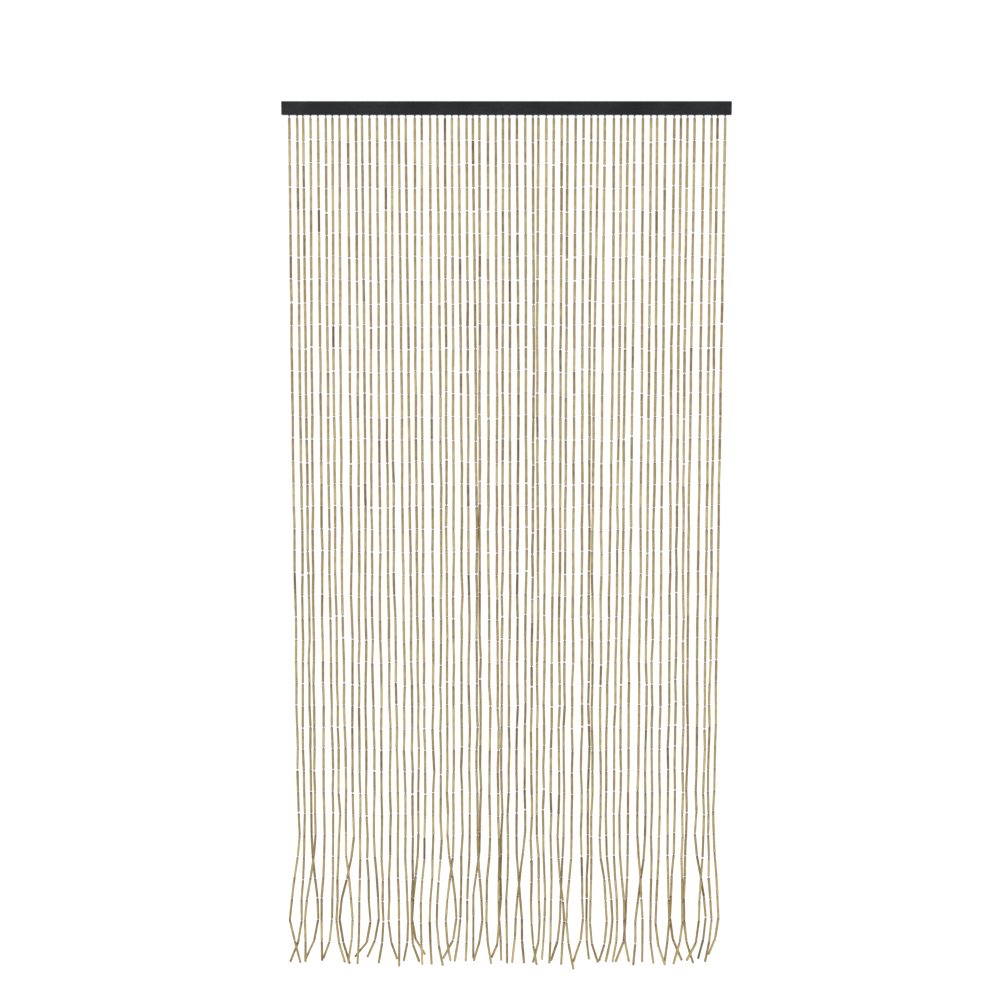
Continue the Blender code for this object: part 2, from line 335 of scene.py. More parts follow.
def hung_joints(wire):
    """The joints slipped a little up or down their strands, and the gap between the tubes at each.

    A slip is an even draw for the strand plus one for the joint, along the line between its neighbours.
    A gap is the least one plus a gamma draw, so that most tubes nearly touch and a few stand apart.
    """
    draw = np.random.default_rng(HANG_SEED)
    points = strand_joints()
    line = points[:, 2:] - points[:, :-2]
    line = line / np.linalg.norm(line, axis=2, keepdims=True)
    slip = STRAND_SLIP * draw.uniform(-1.0, 1.0, (STRAND_COUNT, 1))
    slip = slip + JOINT_SLIP * draw.uniform(-1.0, 1.0, line.shape[:2])
    points[:, 1:-1] += line * slip[..., None]
    gaps = wire.least_gap + wire.gap_spread * draw.gamma(GAP_SHAPE, 1.0, points.shape[:2])
    gaps = gaps.clip(wire.least_gap, wire.most_gap)
    gaps[:, 0] = wire.end_gap
    gaps[:, -1] = wire.end_gap
    return points, gaps


def tube_ends(wire):
    """Upper end, axis and length of every tube, the stretch between two joints less half of each gap.

    The gaps at the joints come with them.
    """
    points, gaps = hung_joints(wire)
    stretch = np.diff(points, axis=1)
    span = np.linalg.norm(stretch, axis=2, keepdims=True)
    axis = stretch / span
    upper = points[:, :-1] + axis * gaps[:, :-1, None] / 2.0
    return upper, axis, span[:, :, 0] - (gaps[:, :-1] + gaps[:, 1:]) / 2.0, gaps


def side_directions(axis, turn):
    """Two unit directions square to each axis and to each other, turned about it by an angle.

    The first is the curtain's width less its share along the axis, and the second is axis cross first.
    """
    across = np.array([1.0, 0.0, 0.0]) - axis[..., :1] * axis
    across = across / np.linalg.norm(across, axis=-1, keepdims=True)
    through = np.cross(axis, across)
    c = np.cos(turn)[..., None]
    s = np.sin(turn)[..., None]
    return c * across + s * through, c * through - s * across


def ring_grid(centres, first_side, second_side, radii, sides, turn=0.0):
    """Rings round a path: centre plus radius times (cosine of the angle on one side, sine on the other).

    Shapes by rings by sides by three coordinates. The angle is a whole turn times the side's share.
    """
    angle = 2.0 * np.pi * np.arange(sides) / sides + turn
    cosine = np.cos(angle)[:, None]
    sine = np.sin(angle)[:, None]
    round_it = cosine * first_side[..., None, :] + sine * second_side[..., None, :]
    return centres[..., None, :] + radii[..., None, None] * round_it


def grid_faces(shapes, rings, sides, closed):
    """Corner numbers and first corners of the faces of many like shapes.

    Quads join each ring to the next, and a closed shape's last ring to its first.
    An open shape gets a lid on its first ring and one on its last.
    """
    bands = rings if closed else rings - 1
    ring = np.arange(bands)[:, None]
    side = np.arange(sides)[None, :]
    after_ring = (ring + 1) % rings
    after_side = (side + 1) % sides
    corners = (
        ring * sides + side,
        ring * sides + after_side,
        after_ring * sides + after_side,
        after_ring * sides + side,
    )
    quads = np.stack(corners, axis=-1).reshape(-1)
    totals = np.full(bands * sides, 4)
    if not closed:
        first_lid = np.arange(sides)[::-1]
        last_lid = (rings - 1) * sides + np.arange(sides)
        quads = np.concatenate([quads, first_lid, last_lid])
        totals = np.concatenate([totals, [sides, sides]])
    starts = np.arange(shapes)[:, None] * rings * sides
    every_corner = (starts + quads[None, :]).reshape(-1)
    every_total = np.tile(totals, shapes)
    return every_corner, np.cumsum(every_total) - every_total


def mesh_of_grids(name, grids, attributes=None, sharp=False):
    """One mesh object of several lists of like ring grids, each given as (points, closed)."""
    points, corners, starts = [], [], []
    point_count = 0
    corner_count = 0
    for grid, closed in grids:
        shapes, rings, sides, _ = grid.shape
        own_corners, own_starts = grid_faces(shapes, rings, sides, closed)
        points.append(grid.reshape(-1, 3))
        corners.append(own_corners + point_count)
        starts.append(own_starts + corner_count)
        point_count += shapes * rings * sides
        corner_count += len(own_corners)
    starts = np.concatenate(starts)
    mesh = bpy.data.meshes.new(name)
    mesh.vertices.add(point_count)
    mesh.vertices.foreach_set("co", np.concatenate(points).astype(np.float32).ravel())
    mesh.loops.add(corner_count)
    mesh.loops.foreach_set("vertex_index", np.concatenate(corners).astype(np.int32))
    mesh.polygons.add(len(starts))
    mesh.polygons.foreach_set("loop_start", starts.astype(np.int32))
    mesh.update(calc_edges=True)
    if mesh.validate():
        raise RuntimeError(f"the mesh of {name} has faults")
    for label, (kind, values) in (attributes or {}).items():
        attribute = mesh.attributes.new(label, kind, "POINT")
        field = "vector" if kind == "FLOAT_VECTOR" else "value"
        attribute.data.foreach_set(field, np.asarray(values, np.float32).ravel())
    mesh.polygons.foreach_set("use_smooth", np.ones(len(starts), bool))
    if sharp:
        mesh.set_sharp_from_angle(angle=SHARP_ANGLE)
    piece = bpy.data.objects.new(name, mesh)
    bpy.context.scene.collection.objects.link(piece)
    return piece


def hang_piece(piece, material):
    """Gives a piece its material, and hangs it on the part's one body in place of the plain strands."""
    piece.data.materials.append(material)
    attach(piece, "root")
    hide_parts("strands")


def band_slices():
    """The strands of each band, as slices from left to right."""
    edges = np.linspace(0, STRAND_COUNT, BAND_COUNT + 1).astype(int)
    return [slice(a, b) for a, b in zip(edges[:-1], edges[1:])]


def of_band(band, *parts):
    """The rows that belong to a band, with its strands and their tubes run together."""
    return [part[band].reshape(-1, *part.shape[2:]) for part in parts]


def tube_tones(draw, shape):
    """Each tube's shade from 0 to 1: a mean, plus a draw for its strand, plus one for itself.

    A few tubes are darker than that by a fixed step.
    """
    strand_tone = draw.normal(0.0, STRAND_TONE_SPREAD, (STRAND_COUNT, 1))
    tone = TONE_MEAN + strand_tone + draw.normal(0.0, TUBE_TONE_SPREAD, shape)
    dark = draw.uniform(0.0, 1.0, shape) < DARK_SHARE
    return np.where(dark, tone - DARK_DROP, tone).clip(0.0, 1.0)


def tube_grid(upper, axis, length, radius, turn, settings, draw):
    """The rings of every tube, from the bore's floor at one end to the bore's floor at the other.

    Along the axis the radius goes bore, bore rim, cut edge, full, two waisted rings, full, and back in.
    The centre line bows to one side by a sine of the length, and the wall thins evenly to one end.
    """
    count = len(length)
    depth = settings.bore_depth
    chamfer = settings.cut_edge
    bore = settings.bore / 2.0
    near = np.array([depth, BORE_RIM, 0.0, chamfer])
    thirds = np.array([1.0 / 3.0, 2.0 / 3.0])
    whole = length[:, None]
    parts = [np.tile(near, (count, 1)), whole * thirds, whole - near[::-1]]
    along = np.concatenate(parts, axis=1)
    waist = 1.0 - settings.waist * draw.uniform(*WAIST_SHARES, (count, 2))
    full = np.ones((count, 1))
    cut = 1.0 - chamfer * CUT_SLOPE / radius[:, None]
    hole = bore / radius[:, None]
    shares = np.concatenate([hole, hole, cut, full, waist, full, cut, hole, hole], axis=1)
    taper = 1.0 + draw.normal(0.0, settings.taper, count)[:, None] * (along / whole - 0.5)
    radii = radius[:, None] * shares * taper
    first, second = side_directions(axis, turn)
    bow = draw.normal(0.0, settings.bow, count)[:, None] * np.sin(np.pi * along / whole)
    centres = upper[:, None] + axis[:, None] * along[..., None] + first[:, None] * bow[..., None]
    grid = ring_grid(centres, first[:, None], second[:, None], radii, TUBE_SIDES)
    return grid, along, radii


def cane_attributes(along, radii, length, tone, draw):
    """What the cane's material reads at each point of a tube.

    tone is the tube's own shade, grain a place in the cane that closes round the tube,
    cut the distance to the nearer end, and knot the distance along from its ring, if it has one.
    """
    count, rings = along.shape
    shape = (count, rings, TUBE_SIDES)
    angle = 2.0 * np.pi * np.arange(TUBE_SIDES) / TUBE_SIDES
    place = np.zeros(shape + (3,))
    place[..., 0] = radii[..., None] * np.cos(angle)
    place[..., 1] = radii[..., None] * np.sin(angle)
    place[..., 2] = along[..., None]
    place += draw.uniform(0.0, GRAIN_REACH, (count, 1, 1, 3))
    nearer = np.minimum(along, length[:, None] - along)
    has_knot = draw.uniform(0.0, 1.0, count) < KNOT_SHARE
    knot_place = np.where(has_knot, draw.uniform(*KNOT_PLACES, count) * length, NO_KNOT)
    whole = np.ones(shape)
    return {
        "tone": ("FLOAT", tone[:, None, None] * whole),
        "grain": ("FLOAT_VECTOR", place),
        "cut": ("FLOAT", nearer[..., None] * whole),
        "knot": ("FLOAT", (along - knot_place[:, None])[..., None] * whole),
    }


def eye_path(settings, reach):
    """An eye's centre line, seen flat: across and outwards from the tube's end, with its tangent.

    With an angle that runs from one leg over the top to the other leg, outwards is a cosine about the
    eye's middle, and across is a sine times the squared cosine of half the angle, plus the legs' gap
    times the sine of half the angle, which is a drop shape with its two legs side by side in the bore.
    """
    angle = np.linspace(-EYE_TURN, EYE_TURN, WIRE_SECTIONS) * np.pi
    reach = reach[:, None]
    tail = settings.eye_tail
    middle = (reach - tail) / 2.0
    swing = (reach + tail) / 2.0
    wide = (settings.eye_width + settings.eye_widening * reach) / 2.0 / DROP_WIDEST
    legs = settings.thickness * LEG_STEP
    sine, cosine = np.sin(angle), np.cos(angle)
    half_sine, half_cosine = np.sin(angle / 2.0), np.cos(angle / 2.0)
    across = wide * sine * half_cosine ** 2 + legs * half_sine
    outward = middle + swing * cosine
    drop_rate = cosine * half_cosine ** 2 - sine * half_cosine * half_sine
    across_rate = wide * drop_rate + legs * half_cosine / 2.0
    outward_rate = -swing * sine
    return across, outward, across_rate, outward_rate


def eye_grid(ends, outwards, turn, reach, settings):
    """A bent wire eye at each tube end: the flat path laid in a plane through the tube's axis."""
    across, outward, across_rate, outward_rate = eye_path(settings, reach)
    flat, square = side_directions(outwards, turn)
    flat = flat[:, None]
    out = outwards[:, None]
    centres = ends[:, None] + flat * across[..., None] + out * outward[..., None]
    tangent = flat * across_rate[..., None] + out * outward_rate[..., None]
    tangent = tangent / np.linalg.norm(tangent, axis=-1, keepdims=True)
    second = np.broadcast_to(square[:, None], tangent.shape)
    first = np.cross(second, tangent)
    radii = np.full(across.shape, settings.thickness / 2.0)
    return ring_grid(centres, first, second, radii, WIRE_SIDES, WIRE_TURN)


def screw_eye_grids(tops, turn, settings, wire):
    """The collar, shank and ring of every screw eye under the rail.

    The collar and shank are a profile of radius against height turned about a plumb line, and the ring
    is a small circle carried round a larger one.
    """
    count = len(tops)
    under = RAIL_LOW.z
    ring = settings.ring / 2.0
    metal = settings.metal / 2.0
    ring_middle = tops[:, 2] - wire.thickness / 2.0 + ring
    profile = np.array(COLLAR_PROFILE)
    radii = np.tile(profile[:, 0] * settings.collar / 2.0, (count, 1))
    centres = np.zeros((count, len(profile), 3))
    centres[..., 0] = tops[:, None, 0]
    centres[..., 2] = under + profile[:, 1]
    down = np.broadcast_to([0.0, 0.0, -1.0], centres.shape)
    first, second = side_directions(down, np.zeros(down.shape[:2]))
    collars = ring_grid(centres, first, second, radii, COLLAR_SIDES)
    angle = 2.0 * np.pi * np.arange(RING_SECTIONS)[:, None] / RING_SECTIONS
    cosine, sine = np.cos(angle), np.sin(angle)
    plumb = np.array([0.0, 0.0, 1.0])
    level = np.stack([np.cos(turn), np.sin(turn), np.zeros(count)], axis=-1)[:, None]
    hub = np.stack([tops[:, 0], np.zeros(count), ring_middle], axis=-1)[:, None]
    spoke = cosine * level + sine * plumb
    square = np.cross(cosine * plumb - sine * level, spoke)
    metal_radii = np.full((count, RING_SECTIONS), metal)
    rings = ring_grid(hub + ring * spoke, spoke, square, metal_radii, RING_SIDES)
    return collars, rings


# Materials


def add_node(tree, kind, **values):
    """A new node of that kind, with values for its own settings."""
    node = tree.nodes.new(kind)
    for key, value in values.items():
        setattr(node, key, value)
    return node


def maths(tree, operation, *inputs, clamp=False):
    """A Math node on sockets or plain numbers, and its output."""
    node = add_node(tree, "ShaderNodeMath", operation=operation, use_clamp=clamp)
    for socket, value in zip(node.inputs, inputs):
        if isinstance(value, bpy.types.NodeSocket):
            tree.links.new(value, socket)
        else:
            socket.default_value = value
    return node.outputs[0]


def colour_mix(tree, mask, first, second):
    """A mix of two colours, sockets or plain ones, by a mask, and its output."""
    node = add_node(tree, "ShaderNodeMix", data_type="RGBA")
    tree.links.new(mask, node.inputs[0])
    for socket, value in ((node.inputs[6], first), (node.inputs[7], second)):
        if isinstance(value, bpy.types.NodeSocket):
            tree.links.new(value, socket)
        else:
            socket.default_value = (*value[:3], 1.0)
    return node.outputs[2]


def remap(tree, value, low, high, to_low, to_high):
    """A clamped Map Range of a socket, and its output."""
    node = add_node(tree, "ShaderNodeMapRange", clamp=True)
    tree.links.new(value, node.inputs["Value"])
    for socket, number in zip(node.inputs[1:5], (low, high, to_low, to_high)):
        socket.default_value = number
    return node.outputs[0]


def off_middle(tree, mask, reach):
    """A mask's difference from one half, times a reach."""
    return maths(tree, "MULTIPLY", maths(tree, "SUBTRACT", mask, 0.5), reach)


def rising(tree, mask, share, base):
    """A base, a socket or a number, plus a share of a mask."""
    return maths(tree, "ADD", maths(tree, "MULTIPLY", mask, share), base)


def stretched(tree, mask, contrast):
    """A mask moved away from one half by a multiple of the contrast, and kept between 0 and 1."""
    reach = maths(tree, "MULTIPLY", contrast, CONTRAST_REACH)
    return maths(tree, "ADD", off_middle(tree, mask, reach), 0.5, clamp=True)


def new_group(name, inputs, outputs):
    """An empty shader node group with named sockets, and its two end nodes."""
    tree = bpy.data.node_groups.new(name, "ShaderNodeTree")
    for label, kind, default in inputs:
        socket = tree.interface.new_socket(label, in_out="INPUT", socket_type=kind)
        if default is not None:
            socket.default_value = default
    for label, kind in outputs:
        tree.interface.new_socket(label, in_out="OUTPUT", socket_type=kind)
    return tree, tree.nodes.new("NodeGroupInput"), tree.nodes.new("NodeGroupOutput")


def fibre_group():
    """Long fibres: noise squeezed along one axis, in two finenesses, as a mask from 0 to 1."""
    name = "long_fibres"
    if name in bpy.data.node_groups:
        return bpy.data.node_groups[name]
    tree, start, end = new_group(
        name,
        (
            ("Place", "NodeSocketVector", None),
            ("Across", "NodeSocketFloat", 600.0),
            ("Along", "NodeSocketFloat", 20.0),
            ("Contrast", "NodeSocketFloat", 1.0),
        ),
        (("Fibre", "NodeSocketFloat"),),
    )
    squeeze = add_node(tree, "ShaderNodeCombineXYZ")
    for socket, label in zip(squeeze.inputs, ("Across", "Across", "Along")):
        tree.links.new(start.outputs[label], socket)
    place = add_node(tree, "ShaderNodeVectorMath", operation="MULTIPLY")
    tree.links.new(start.outputs["Place"], place.inputs[0])
    tree.links.new(squeeze.outputs[0], place.inputs[1])
    parts = []
    for scale, detail, share in FIBRE_NOISES:
        noise = add_node(tree, "ShaderNodeTexNoise")
        noise.inputs["Scale"].default_value = scale
        noise.inputs["Detail"].default_value = detail
        tree.links.new(place.outputs[0], noise.inputs["Vector"])
        parts.append(maths(tree, "MULTIPLY", noise.outputs[0], share))
    both = maths(tree, "ADD", *parts)
    tree.links.new(stretched(tree, both, start.outputs["Contrast"]), end.inputs["Fibre"])
    return tree


def blotch_group():
    """Soft blotches: plain noise stretched about its middle, as a mask from 0 to 1."""
    name = "soft_blotches"
    if name in bpy.data.node_groups:
        return bpy.data.node_groups[name]
    tree, start, end = new_group(
        name,
        (
            ("Place", "NodeSocketVector", None),
            ("Scale", "NodeSocketFloat", 60.0),
            ("Contrast", "NodeSocketFloat", 1.0),
        ),
        (("Blotch", "NodeSocketFloat"),),
    )
    noise = add_node(tree, "ShaderNodeTexNoise")
    noise.inputs["Detail"].default_value = 2.0
    tree.links.new(start.outputs["Place"], noise.inputs["Vector"])
    tree.links.new(start.outputs["Scale"], noise.inputs["Scale"])
    blotch = stretched(tree, noise.outputs[0], start.outputs["Contrast"])
    tree.links.new(blotch, end.inputs["Blotch"])
    return tree


def placed_group(tree, group, place, **values):
    """A group in a material's tree that reads a place, with its own values, and its output."""
    node = add_node(tree, "ShaderNodeGroup", node_tree=group)
    tree.links.new(place, node.inputs["Place"])
    for label, value in values.items():
        node.inputs[label].default_value = value
    return node.outputs[0]


def new_material(name, shown):
    """An empty material with a Principled shader, and its tree and shader."""
    material = bpy.data.materials.new(name)
    material.use_nodes = True
    material.diffuse_color = (*shown[:3], 1.0)
    tree = material.node_tree
    return material, tree, tree.nodes["Principled BSDF"]


def bump(tree, shader, height, distance, strength):
    """A Bump node from a height mask into the shader's normal."""
    node = add_node(tree, "ShaderNodeBump")
    node.inputs["Distance"].default_value = distance
    node.inputs["Strength"].default_value = strength
    tree.links.new(height, node.inputs["Height"])
    tree.links.new(node.outputs[0], shader.inputs["Normal"])


def read_attribute(tree, name, output="Fac"):
    """What an Attribute node reads from the piece's own mesh."""
    node = add_node(tree, "ShaderNodeAttribute", attribute_type="GEOMETRY", attribute_name=name)
    return node.outputs[output]


def bamboo_material(settings):
    """Bare bamboo cane: a shade for each tube, long fibres, weathered blotches, dark cut ends and knots."""
    material, tree, shader = new_material("bamboo_cane", settings.straw)
    grain = read_attribute(tree, "grain", "Vector")
    tone, cut, knot = (read_attribute(tree, name) for name in ("tone", "cut", "knot"))
    fibre = placed_group(tree, fibre_group(), grain, Across=900.0, Along=22.0, Contrast=1.2)
    blotch = placed_group(tree, blotch_group(), grain, Scale=70.0, Contrast=1.0)
    shade = maths(tree, "ADD", tone, off_middle(tree, blotch, BLOTCH_SHADE))
    shade = maths(tree, "ADD", shade, off_middle(tree, fibre, FIBRE_SHADE), clamp=True)
    ramp = add_node(tree, "ShaderNodeValToRGB")
    colours = (settings.brown, settings.tan, settings.straw, settings.pale)
    for position in CANE_STOPS[1:-1]:
        ramp.color_ramp.elements.new(position)
    for element, position, colour in zip(ramp.color_ramp.elements, CANE_STOPS, colours):
        element.position = position
        element.color = (*colour[:3], 1.0)
    tree.links.new(shade, ramp.inputs[0])
    rim = remap(tree, cut, *RIM_RISE)
    ring = remap(tree, maths(tree, "ABSOLUTE", knot), *KNOT_RISE)
    dark = maths(tree, "MAXIMUM", rim, ring)
    colour = colour_mix(tree, dark, ramp.outputs[0], settings.brown)
    tree.links.new(colour, shader.inputs["Base Color"])
    tree.links.new(rising(tree, fibre, *CANE_ROUGHNESS), shader.inputs["Roughness"])
    shader.inputs["Specular IOR Level"].default_value = CANE_SPECULAR
    bump(tree, shader, fibre, *CANE_BUMP)
    return material


def wire_material(settings):
    """Plain steel wire, bright where it rubs and duller in blotches."""
    material, tree, shader = new_material("steel_wire", settings.steel)
    place = add_node(tree, "ShaderNodeTexCoord").outputs["Object"]
    blotch = placed_group(tree, blotch_group(), place, Scale=420.0, Contrast=1.3)
    colour = colour_mix(tree, blotch, settings.steel, settings.dull_steel)
    tree.links.new(colour, shader.inputs["Base Color"])
    shader.inputs["Metallic"].default_value = 1.0
    tree.links.new(rising(tree, blotch, *WIRE_ROUGHNESS), shader.inputs["Roughness"])
    return material


def edge_nearness(tree, along, low, high, reach):
    """One at either bound of a coordinate, falling to zero one reach inside it."""
    middle = (low + high) / 2.0
    half = (high - low) / 2.0
    away = maths(tree, "ABSOLUTE", maths(tree, "SUBTRACT", along, middle))
    return remap(tree, away, half - reach, half, 0.0, 1.0)


def black_paint_material(settings):
    """Satin black paint on a wooden slat: faint grain, fine lighter flecks, and edges worn thin."""
    material, tree, shader = new_material("black_painted_wood", settings.paint)
    place = add_node(tree, "ShaderNodeTexCoord").outputs["Object"]
    turned = add_node(tree, "ShaderNodeMapping")
    turned.inputs["Rotation"].default_value = (0.0, np.pi / 2.0, 0.0)
    tree.links.new(place, turned.inputs["Vector"])
    fibre = placed_group(tree, fibre_group(), turned.outputs[0], Across=520.0, Along=14.0, Contrast=1.1)
    fleck = placed_group(tree, blotch_group(), place, Scale=1300.0, Contrast=1.1)
    cloud = placed_group(tree, blotch_group(), place, Scale=9.0, Contrast=1.0)
    split = add_node(tree, "ShaderNodeSeparateXYZ")
    tree.links.new(place, split.inputs[0])
    near_x, near_y, near_z = (
        edge_nearness(tree, along, low, high, settings.wear_reach)
        for along, low, high in zip(split.outputs, RAIL_LOW, RAIL_HIGH)
    )
    long_edges = maths(tree, "MULTIPLY", near_z, near_y)
    end_edges = maths(tree, "MULTIPLY", near_x, maths(tree, "MAXIMUM", near_z, near_y))
    edges = maths(tree, "MAXIMUM", long_edges, end_edges)
    thin = remap(tree, fibre, *WORN_FIBRE, 0.0, settings.wear)
    worn = maths(tree, "MULTIPLY", edges, thin, clamp=True)
    speck = maths(tree, "MULTIPLY", remap(tree, fleck, *FLECK_RISE), remap(tree, cloud, *CLOUD_RISE))
    raised = maths(tree, "MULTIPLY", fibre, THIN_PAINT_SHARE)
    paint = colour_mix(tree, raised, settings.paint, settings.thin_paint)
    paint = colour_mix(tree, speck, paint, settings.fleck)
    paint = colour_mix(tree, worn, paint, settings.bare_wood)
    tree.links.new(paint, shader.inputs["Base Color"])
    rough = rising(tree, fibre, PAINT_FIBRE_ROUGHNESS, rising(tree, cloud, *PAINT_ROUGHNESS))
    tree.links.new(rough, shader.inputs["Roughness"])
    shader.inputs["Specular IOR Level"].default_value = PAINT_SPECULAR
    bump(tree, shader, rising(tree, fleck, FLECK_BUMP_SHARE, fibre), *PAINT_BUMP)
    return material


def black_metal_material(settings):
    """Blackened screw eyes, a little rubbed."""
    material, tree, shader = new_material("blackened_eye", settings.metal_colour)
    place = add_node(tree, "ShaderNodeTexCoord").outputs["Object"]
    blotch = placed_group(tree, blotch_group(), place, Scale=600.0, Contrast=1.5)
    rubbed = maths(tree, "MULTIPLY", blotch, RUBBED_SHARE)
    colour = colour_mix(tree, rubbed, settings.metal_colour, settings.rubbed_colour)
    tree.links.new(colour, shader.inputs["Base Color"])
    shader.inputs["Metallic"].default_value = EYE_METALLIC
    tree.links.new(rising(tree, blotch, *EYE_ROUGHNESS), shader.inputs["Roughness"])
    return material


def floor_material(colour):
    """Pale studio paper, faintly mottled."""
    material, tree, shader = new_material("pale_floor", colour)
    place = add_node(tree, "ShaderNodeTexCoord").outputs["Object"]
    blotch = placed_group(tree, blotch_group(), place, Scale=3.0, Contrast=0.6)
    shade = colour_mix(tree, maths(tree, "MULTIPLY", blotch, FLOOR_MOTTLE), colour, FLOOR_SHADE)
    tree.links.new(shade, shader.inputs["Base Color"])
    shader.inputs["Roughness"].default_value = FLOOR_ROUGHNESS
    shader.inputs["Emission Color"].default_value = (1.0, 1.0, 1.0, 1.0)
    shader.inputs["Emission Strength"].default_value = FLOOR_GLOW
    return material


def length_property(name, description, default):
    """A length that a user may change."""
    return bpy.props.FloatProperty(
        name=name, description=description, default=default, min=0.0, precision=5, unit="LENGTH"
    )


def share_property(name, description, default, most):
    """A share of something that a user may change."""
    return bpy.props.FloatProperty(name=name, description=description, default=default, min=0.0, max=most)


def amount_property(name, description, default):
    """A brightness, power, ratio or focal length that a user may change."""
    return bpy.props.FloatProperty(name=name, description=description, default=default, min=0.0)


def colour_property(name, description, default):
    """A colour that a user may change."""
    return bpy.props.FloatVectorProperty(
        name=name, description=description, default=default, size=3, min=0.0, max=1.0, subtype="COLOR"
    )


class CurtainTubeSettings(bpy.types.PropertyGroup):
    """Sizes and colours of the bamboo tubes."""

    diameter: length_property("Diameter", "Mean outer diameter of a tube", 0.0052)
    spread: share_property("Diameter spread", "Share by which tube diameters differ", 0.03, 0.1)
    bore: length_property("Bore", "Diameter of the hole in a tube's ends", 0.0025)
    bore_depth: length_property("Bore depth", "How deep the hole is seen", 0.0018)
    cut_edge: length_property("Cut edge", "Length of the eased edge at a tube's end", 0.00045)
    bow: length_property("Bow", "How far a tube's middle strays from straight", 0.00012)
    waist: share_property("Waist", "Share by which a tube is slimmer between its ends", 0.03, 0.2)
    taper: share_property("Taper", "Share by which one end is thicker than the other", 0.03, 0.2)
    brown: colour_property("Brown", "Darkest cane, cut ends and knots", (0.150, 0.096, 0.038))
    tan: colour_property("Tan", "Darker cane", (0.300, 0.212, 0.086))
    straw: colour_property("Straw", "Usual cane", (0.420, 0.322, 0.132))
    pale: colour_property("Pale", "Palest cane", (0.560, 0.455, 0.220))


class CurtainWireSettings(bpy.types.PropertyGroup):
    """Sizes and colours of the wire eyes that hook the tubes together."""

    thickness: length_property("Thickness", "Thickness of the wire", 0.0007)
    least_gap: length_property("Least gap", "Smallest gap between two tubes", 0.0014)
    gap_spread: length_property("Gap spread", "How much wider most gaps are", 0.0007)
    most_gap: length_property("Most gap", "Largest gap between two tubes", 0.0042)
    end_gap: length_property("End gap", "Gap at the screw eyes and at the tips", 0.0024)
    eye_width: length_property("Eye width", "Width of an eye that stands out by nothing", 0.0009)
    eye_widening: amount_property("Eye widening", "Width added for each length an eye stands out", 0.56)
    eye_tail: length_property("Eye tail", "How far an eye's legs go into the bore", 0.0013)
    steel: colour_property("Steel", "Bright wire", (0.640, 0.630, 0.600))
    dull_steel: colour_property("Dull steel", "Dull wire", (0.330, 0.320, 0.300))


class CurtainRailSettings(bpy.types.PropertyGroup):
    """Finish of the rail, and sizes and colours of the screw eyes under it."""

    paint: colour_property("Paint", "Black paint", (0.0085, 0.0092, 0.0115))
    thin_paint: colour_property("Thin paint", "Paint over a raised fibre", (0.0140, 0.0150, 0.0180))
    fleck: colour_property("Fleck", "Fine lighter flecks in the paint", (0.110, 0.110, 0.115))
    bare_wood: colour_property("Bare wood", "Wood where the paint is worn", (0.160, 0.120, 0.080))
    wear: share_property("Wear", "How much paint is worn off the edges", 0.5, 1.0)
    wear_reach: length_property("Wear reach", "How far the wear reaches from an edge", 0.0016)
    collar: length_property("Collar", "Diameter of a screw eye's collar", 0.0050)
    ring: length_property("Ring", "Diameter of a screw eye's ring", 0.0034)
    metal: length_property("Metal", "Thickness of a screw eye's ring", 0.0010)
    metal_colour: colour_property("Black metal", "Blackened metal", (0.022, 0.022, 0.024))
    rubbed_colour: colour_property("Rubbed metal", "Metal where the black is rubbed", (0.090, 0.088, 0.085))


class CurtainStageSettings(bpy.types.PropertyGroup):
    """Floor, lights and camera."""

    floor_drop: length_property("Floor drop", "Floor below the rail's top", 1.95)
    floor_colour: colour_property("Floor colour", "Pale studio floor", (0.92, 0.92, 0.92))
    sky_strength: amount_property("Surround", "Brightness of the soft white surround", 0.42)
    key_power: amount_property("Key light", "Power of the key light, in watts", 60.0)
    fill_power: amount_property("Fill light", "Power of the fill light, in watts", 25.0)
    lens: amount_property("Lens", "Focal length in millimetres", 72.0)
    camera_distance: length_property("Camera distance", "Camera before the curtain", 4.065)
    camera_height: bpy.props.FloatProperty(
        name="Camera height", description="Camera height from the rail's top", default=-0.303, unit="LENGTH"
    )
    camera_side: bpy.props.FloatProperty(
        name="Camera side", description="Camera place along the rail", default=-0.013, unit="LENGTH"
    )
    camera_pitch: bpy.props.FloatProperty(
        name="Camera pitch",
        description="How far the camera looks down",
        default=np.radians(7.01),
        subtype="ANGLE",
    )


class CURTAIN_OT_tubes(bpy.types.Operator):
    """Build the bamboo tubes of every strand, in a few bands of strands"""

    bl_idname = "curtain.tubes"
    bl_label = "Bamboo tubes"

    def execute(self, context):
        settings = context.scene.curtain_tubes
        wire = context.scene.curtain_wire
        draw = np.random.default_rng(LOOK_SEED)
        upper, axis, length, _ = tube_ends(wire)
        shape = length.shape
        uneven = draw.normal(0.0, settings.spread, shape).clip(-MOST_SPREAD, MOST_SPREAD)
        radius = settings.diameter / 2.0 * (1.0 + uneven)
        tone = tube_tones(draw, shape)
        turn = draw.uniform(0.0, 2.0 * np.pi, shape)
        material = bamboo_material(settings)
        for number, band in enumerate(band_slices(), 1):
            own_length, own_tone = of_band(band, length, tone)
            tubes = of_band(band, upper, axis, length, radius, turn)
            grid, along, radii = tube_grid(*tubes, settings, draw)
            attributes = cane_attributes(along, radii, own_length, own_tone, draw)
            piece = mesh_of_grids(f"tubes_{number}", [(grid, False)], attributes, sharp=True)
            hang_piece(piece, material)
        return {"FINISHED"}


